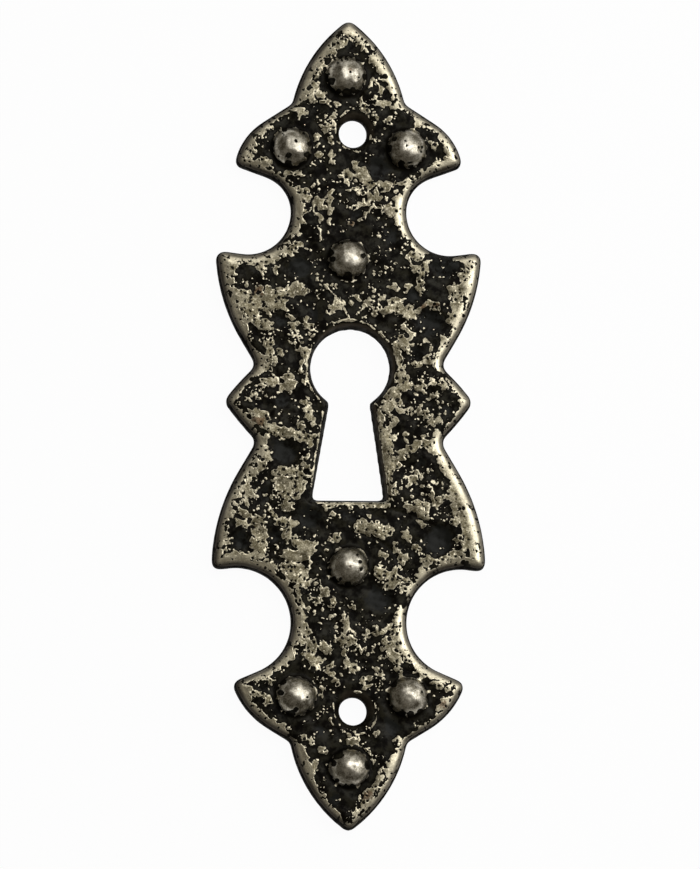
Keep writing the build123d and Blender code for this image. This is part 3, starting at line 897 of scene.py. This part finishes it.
def blend(share, first, second, kind="FLOAT"):
    made = add_node(tree, "Mix", data_type=kind)
    pair = (6, 7) if kind == "RGBA" else (2, 3)
    for socket, value in zip((0, *pair), (share, first, second)):
        if isinstance(value, bpy.types.NodeSocket):
            tree.links.new(value, made.inputs[socket])
        else:
            made.inputs[socket].default_value = value
    return made.outputs[2 if kind == "RGBA" else 0]


def times(*values):
    product = values[0]
    for value in values[1:]:
        product = calc(tree, "MULTIPLY", product, value)
    return product


def total(*values):
    result = values[0]
    for value in values[1:]:
        result = calc(tree, "ADD", result, value)
    return result


def without(value):
    return calc(tree, "SUBTRACT", 1.0, value, clamp=True)


rubbed_patina, tree = new_material("rubbed_patina")
place = place_in_millimetres()
print("material:", rubbed_patina.name)

# %% [markdown]
# Loose specks of metal in the black, larger crumbs in the speckled areas, and pits of black in the metal
# are round dots: cells of a Voronoi texture, each with a random number that says whether its dot is there,
# and another for its radius. A little noise bends them out of round. Specks and pits come in clusters, with
# few specks in the hollows and next to the studs, and few pits in what is polished.

# %% Specks, crumbs and pits
SPECK_SPACING, SPECK_RADII, SPECK_SHARES = 0.40, (0.02, 0.15), (0.05, 0.42)
PIT_SPACING, PIT_RADII, PIT_SHARES = 0.52, (0.07, 0.23), (0.16, 0.66)
CRUMB_SPACING, CRUMB_RADII, CRUMB_SHARE = 0.66, (0.05, 0.27), 0.7
BENDS_PER_MM, DOT_BEND = 3.5, 0.34
SPECK_CLUSTERS, PIT_CLUSTERS = (2.4, 2.0, -0.03, 0.14), (2.0, 2.0, -0.08, 0.12)
SPECK_SHIFT, CRUMB_SHIFT, PIT_SHIFT = 0.0, 12.3, 31.7
HOLLOW_WANDER, HOLLOW_NOISE, HOLLOW_EDGE = 3.0, (1.3, 3.0), (-0.2, 0.5)
HOLLOW_SPECKS, STUD_SPECKS, POLISHED_PITS = 0.3, 0.1, 0.3


def dots(spacing, share, radii, shift):
    """Round dots in a share of the cells of this spacing, as a depth that is above zero inside a dot."""
    moved = add_node(tree, "VectorMath", {0: bent, 1: (shift,) * 3}, operation="ADD").outputs[0]
    cells = add_node(tree, "TexVoronoi", {"Vector": moved, "Scale": 1 / spacing}, voronoi_dimensions="2D")
    draws = add_node(tree, "SeparateColor", {0: cells.outputs["Color"]}).outputs
    radius = blend(draws[1], *radii)
    depth = calc(tree, "SUBTRACT", radius, times(cells.outputs["Distance"], spacing))
    chosen = calc(tree, "LESS_THAN", draws[0], share)
    return calc(tree, "SUBTRACT", times(chosen, total(depth, 1.0)), 1.0)


bend = add_node(tree, "TexNoise", {"Vector": place, "Scale": BENDS_PER_MM, "Detail": 1.0}).outputs["Color"]
bend = add_node(tree, "VectorMath", {0: bend, 1: (0.5,) * 3}, operation="SUBTRACT").outputs[0]
bend = add_node(tree, "VectorMath", {0: bend, 1: (DOT_BEND,) * 3}, operation="MULTIPLY").outputs[0]
bent = add_node(tree, "VectorMath", {0: place, 1: bend}, operation="ADD").outputs[0]

in_hollow = total(attribute("hollow_depth"), times(noise(*HOLLOW_NOISE), HOLLOW_WANDER))
in_hollow = step_up(in_hollow, *HOLLOW_EDGE)
polish, on_stud, calm, wall = (attribute(name) for name in ("polish", "on_stud", "calm", "wall"))
speck_share = blend(clusters(*SPECK_CLUSTERS), *SPECK_SHARES)
speck_share = times(speck_share, blend(in_hollow, 1.0, HOLLOW_SPECKS))
speck_share = times(speck_share, blend(attribute("near_stud"), 1.0, STUD_SPECKS))
pit_share = blend(clusters(*PIT_CLUSTERS), *PIT_SHARES)
pit_share = times(pit_share, blend(polish, 1.0, POLISHED_PITS), blend(on_stud, 1.0, POLISHED_PITS))
specks = dots(SPECK_SPACING, speck_share, SPECK_RADII, SPECK_SHIFT)
crumbs = dots(CRUMB_SPACING, times(attribute("speckled"), CRUMB_SHARE), CRUMB_RADII, CRUMB_SHIFT)
pits = dots(PIT_SPACING, pit_share, PIT_RADII, PIT_SHIFT)
print("nodes so far:", len(tree.nodes))

# %% [markdown]
# The edge of the bare metal is the depth from before, pushed in and out by noise at two sizes. The finer
# one is twisted a little, which gives the lace-like shapes of patina that came off in flakes. Where the
# edge is calm, the noise is weak. Small chips of black are left on the rim. Specks and crumbs are added,
# pits are taken away, and what stays above zero is bare.

# %% Bare or black
WANDER_SIZE, EDGE_WANDER = 1.7, 0.8
LACE_SIZE, LACE_DETAIL, LACE_TWIST, EDGE_LACE = 0.58, 0.35, 0.35, 1.8
EDGE_BACK, CALM_SHARE = -0.01, 0.25
CHIP_CLUSTERS, CHIP_DEPTH = (0.75, 2.0, 0.09, 0.16), -1.6
CRUMB_LACE, PIT_STEEPNESS, BARE_EDGE = 0.6, -1.5, (-0.02, 0.03)

lace = add_node(tree, "TexNoise", {
    "Vector": place, "Scale": 1 / LACE_SIZE, "Detail": LACE_DETAIL, "Roughness": 0.5,
    "Distortion": LACE_TWIST,
}).outputs[0]
lace = calc(tree, "SUBTRACT", lace, 0.5)
uneven = total(times(noise(WANDER_SIZE, 1.0, 0.5), EDGE_WANDER), times(lace, EDGE_LACE), EDGE_BACK)
chips = times(clusters(*CHIP_CLUSTERS), polish, without(on_stud), CHIP_DEPTH)
edge = total(attribute("worn_depth"), times(uneven, blend(calm, 1.0, CALM_SHARE)), chips)
loose = calc(tree, "MAXIMUM", specks, total(crumbs, times(lace, CRUMB_LACE)))
flake = calc(tree, "MAXIMUM", edge, calc(tree, "SUBTRACT", loose, wall))
edge = calc(tree, "MINIMUM", flake, times(pits, PIT_STEEPNESS))
bare = step_up(edge, *BARE_EDGE)
print("nodes so far:", len(tree.nodes))

# %% [markdown]
# The black is never one tone: it is sooty in clouds, sooty and painted darker as shade on the walls,
# painted darker as shade in the corners at the feet of the studs, darkest right beside the flakes, brownish
# on the open face, and a little grey and smooth in the hollows.

# %% Colours of the black
PATINA_SOOT_AND_SHADE = (0.0019, 0.0012, 0.0003, 1)
PATINA_GREY = (0.0175, 0.0156, 0.0092, 1)
HOLLOW_GREY = (0.0092, 0.0094, 0.0076, 1)
LIT_HOLE_WALL_TONE = (0.060, 0.048, 0.034, 1)
CLOUD_NOISE, CLOUD_EDGE, HOLLOW_CLEARING = (1.1, 5.0), (-0.1, 0.12), 0.12
FLAKE_DARKENING, FLAKE_DARKENING_REACH = 0.85, (-0.7, -0.1)
WALL_CLUSTERS, LEAST_WALL_SOOT_AND_SHADE = (0.6, 3.0, -0.10, 0.12), 0.35

cloudy = step_up(total(noise(*CLOUD_NOISE), times(in_hollow, HOLLOW_CLEARING)), *CLOUD_EDGE)
# The black is made darkest right beside the flakes.
beside_flakes = times(step_up(edge, *FLAKE_DARKENING_REACH), FLAKE_DARKENING)
# Painted shade in part: the walls, the holes and the crevices at the feet of the studs are made blacker
# both as soot and as shade; the clouds of soot are the patina's own.
wall_soot_and_shade = times(wall, blend(clusters(*WALL_CLUSTERS), LEAST_WALL_SOOT_AND_SHADE, 1.0))
soot_and_shade = calc(tree, "MAXIMUM", calc(tree, "MAXIMUM", attribute("crevice_shade"), wall_soot_and_shade), without(cloudy))
soot_and_shade = calc(tree, "MAXIMUM", soot_and_shade, beside_flakes)
patina = blend(in_hollow, PATINA_GREY, HOLLOW_GREY, "RGBA")
patina = blend(soot_and_shade, patina, PATINA_SOOT_AND_SHADE, "RGBA")
patina = blend(attribute("lit_hole_wall"), patina, LIT_HOLE_WALL_TONE, "RGBA")
print("nodes so far:", len(tree.nodes))

# %% [markdown]
# The bare metal has a thin brownish film, which is worn off along the edges of each flake, on the specks,
# on the rim and on top of the studs. The lighter flake edges are partly that wear and partly a painted
# highlight. The studs are a little greyer than the face, and cloudy. A few flakes, and dots on two of the
# studs, went rusty brown.

# %% Colours of the metal
METAL_FILM = (0.152, 0.132, 0.080, 1)
METAL_BRIGHT = (0.930, 0.855, 0.650, 1)
STUD_FILM = (0.166, 0.149, 0.110, 1)
STUD_BRIGHT = (0.920, 0.866, 0.735, 1)
SHADED_RIM_METAL = (0.055, 0.046, 0.035, 1)
BROWN = (0.150, 0.095, 0.055, 1)
FLAKE_EDGE, SPECK_EDGE = (0.06, 0.26), (-0.02, 0.04)
MOTTLE, MOTTLE_CLUSTERS = 0.28, (0.18, 2.0, -0.08, 0.16)
CLOUDS, CLOUD_CLUSTERS = 0.26, (0.8, 3.0, -0.10, 0.14)
STUD_CLOUDS, STUD_CLOUD_NOISE = 1.3, (0.9, 3.0)
EDGE_CLUSTERS = (1.4, 1.0, -0.05, 0.12)
EDGE_SHINE, SPECK_SHINE, FILM_EVERYWHERE = (0.42, 1.6), 0.8, -0.08
BROWN_WANDER, STUD_BROWN_WANDER, BROWN_NOISE_SIZE = 2.0, 0.3, 0.6
BROWN_EDGE, BROWN_SHARE = (0.0, 0.3), 0.8

flake_edge = times(without(step_up(flake, *FLAKE_EDGE)), without(polish))
speck_top = times(step_up(specks, *SPECK_EDGE), without(polish))
mottle = times(clusters(*MOTTLE_CLUSTERS), MOTTLE)
clouds = times(clusters(*CLOUD_CLUSTERS), CLOUDS)
# Partly painted highlight: the edges of the flakes are made lighter, as burnish and as highlight.
burnish_and_highlight_edge = times(flake_edge, blend(clusters(*EDGE_CLUSTERS), *EDGE_SHINE))
stud_clouds = times(noise(*STUD_CLOUD_NOISE), on_stud, STUD_CLOUDS)
brightness = total(burnish_and_highlight_edge, times(speck_top, SPECK_SHINE), mottle, clouds, stud_clouds)
brightness = total(brightness, attribute("burnish_and_highlight"), FILM_EVERYWHERE)
brightness = calc(tree, "MINIMUM", calc(tree, "MAXIMUM", brightness, 0.0), 1.0)
film = blend(on_stud, METAL_FILM, STUD_FILM, "RGBA")
bright = blend(on_stud, METAL_BRIGHT, STUD_BRIGHT, "RGBA")
metal = blend(brightness, film, bright, "RGBA")
# Painted shade on the steep part of the rim.
metal = blend(attribute("steep_rim_shade"), metal, SHADED_RIM_METAL, "RGBA")
brown_noise = times(noise(BROWN_NOISE_SIZE), blend(on_stud, BROWN_WANDER, STUD_BROWN_WANDER))
brown_share = step_up(total(attribute("brown_depth"), brown_noise), *BROWN_EDGE)
metal = blend(times(brown_share, BROWN_SHARE), metal, BROWN, "RGBA")
colour = blend(bare, patina, metal, "RGBA")
print("nodes so far:", len(tree.nodes))

# %% [markdown]
# The flakes are matt, the rim is polished and the studs are polished more. The patina is dull, and matt on
# the walls. Where it is neither sooty nor painted dark as shade it has a thin lacquer, which gives the
# hollows their faint sheen. Each flake stands a little above the black round it, so the same mask that
# colours it also lifts it in the bump, together with the grain.

# %% Gloss and fine relief
GRAINS_PER_MM = 8.0
FLAKE_LIFT, LIFT_EDGE, GRAIN_LIFT, POLISHED_LIFT = 0.070, (-0.08, 0.18), 0.035, 0.4
FLAKE_ROUGH, RIM_ROUGH, STUD_ROUGH, METAL_GRAIN = 0.40, 0.32, 0.23, 0.25
PATINA_ROUGH, WALL_ROUGH, PATINA_GRAIN = 0.36, 0.95, 0.3
PATINA_SHINE, LACQUER, LACQUER_ROUGH = 0.05, 0.12, 0.30

grain = add_node(tree, "Group", node_tree=grain_group)
tree.links.new(place, grain.inputs["Place"])
grain.inputs["Grains per mm"].default_value = GRAINS_PER_MM
grain_height = grain.outputs["Height"]
matt = total(FLAKE_ROUGH, times(grain_height, METAL_GRAIN))
polished = total(blend(on_stud, RIM_ROUGH, STUD_ROUGH), times(grain_height, METAL_GRAIN))
metal_rough = blend(polish, matt, polished)
patina_rough = blend(wall, total(PATINA_ROUGH, times(grain_height, PATINA_GRAIN)), WALL_ROUGH)
rough = blend(bare, patina_rough, metal_rough)
lift = times(step_up(edge, *LIFT_EDGE), FLAKE_LIFT, blend(polish, 1.0, POLISHED_LIFT))
height = total(lift, times(grain_height, GRAIN_LIFT, blend(polish, 1.0, POLISHED_LIFT)))
bump = add_node(tree, "Bump", {"Height": height, "Distance": MM, "Strength": 1.0})
lacquer = times(without(bare), without(soot_and_shade), LACQUER)
skin_shader = add_node(tree, "BsdfPrincipled", {
    "Base Color": colour, "Metallic": bare, "Roughness": rough, "Specular IOR Level": PATINA_SHINE,
    "Normal": bump.outputs[0], "Coat Weight": lacquer, "Coat Roughness": LACQUER_ROUGH,
})
add_node(tree, "OutputMaterial", {"Surface": skin_shader.outputs[0]})
print("material:", rubbed_patina.name, len(tree.nodes), "nodes")

# %% [markdown]
# The back was never meant to be seen. It keeps the dull grey-black skin of the casting, with the same
# grain, coarser.

# %% Back of the casting
BACK_DARK = (0.020, 0.020, 0.019, 1)
BACK_GREY = (0.075, 0.074, 0.070, 1)
BACK_GRAINS_PER_MM, BACK_TONES, BACK_METAL = 5.0, (0.35, 0.7), 0.6
BACK_ROUGH, BACK_GRAIN, BACK_GRAIN_LIFT = 0.5, 0.3, 0.04

casting_back, tree = new_material("casting_back")
place = place_in_millimetres()
grain = add_node(tree, "Group", node_tree=grain_group)
tree.links.new(place, grain.inputs["Place"])
grain.inputs["Grains per mm"].default_value = BACK_GRAINS_PER_MM
colour = blend(step_up(grain.outputs["Tone"], *BACK_TONES), BACK_DARK, BACK_GREY, "RGBA")
rough = total(BACK_ROUGH, times(grain.outputs["Height"], BACK_GRAIN))
height = times(grain.outputs["Height"], BACK_GRAIN_LIFT)
bump = add_node(tree, "Bump", {"Height": height, "Distance": MM, "Strength": 1.0})
back_shader = add_node(tree, "BsdfPrincipled", {
    "Base Color": colour, "Metallic": BACK_METAL, "Roughness": rough, "Normal": bump.outputs[0],
})
add_node(tree, "OutputMaterial", {"Surface": back_shader.outputs[0]})
print("material:", casting_back.name, len(tree.nodes), "nodes")

# %% [markdown]
# A face belongs to the back when it looks down.

# %% Put the materials on
FACING_DOWN = -0.7
net.materials.append(rubbed_patina)
net.materials.append(casting_back)
for face in net.polygons:
    face.material_index = int(face.normal.z < FACING_DOWN)
print("back faces:", sum(face.material_index for face in net.polygons))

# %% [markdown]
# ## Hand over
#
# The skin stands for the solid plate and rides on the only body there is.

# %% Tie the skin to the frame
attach(skin, "root")
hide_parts("escutcheon_plate")
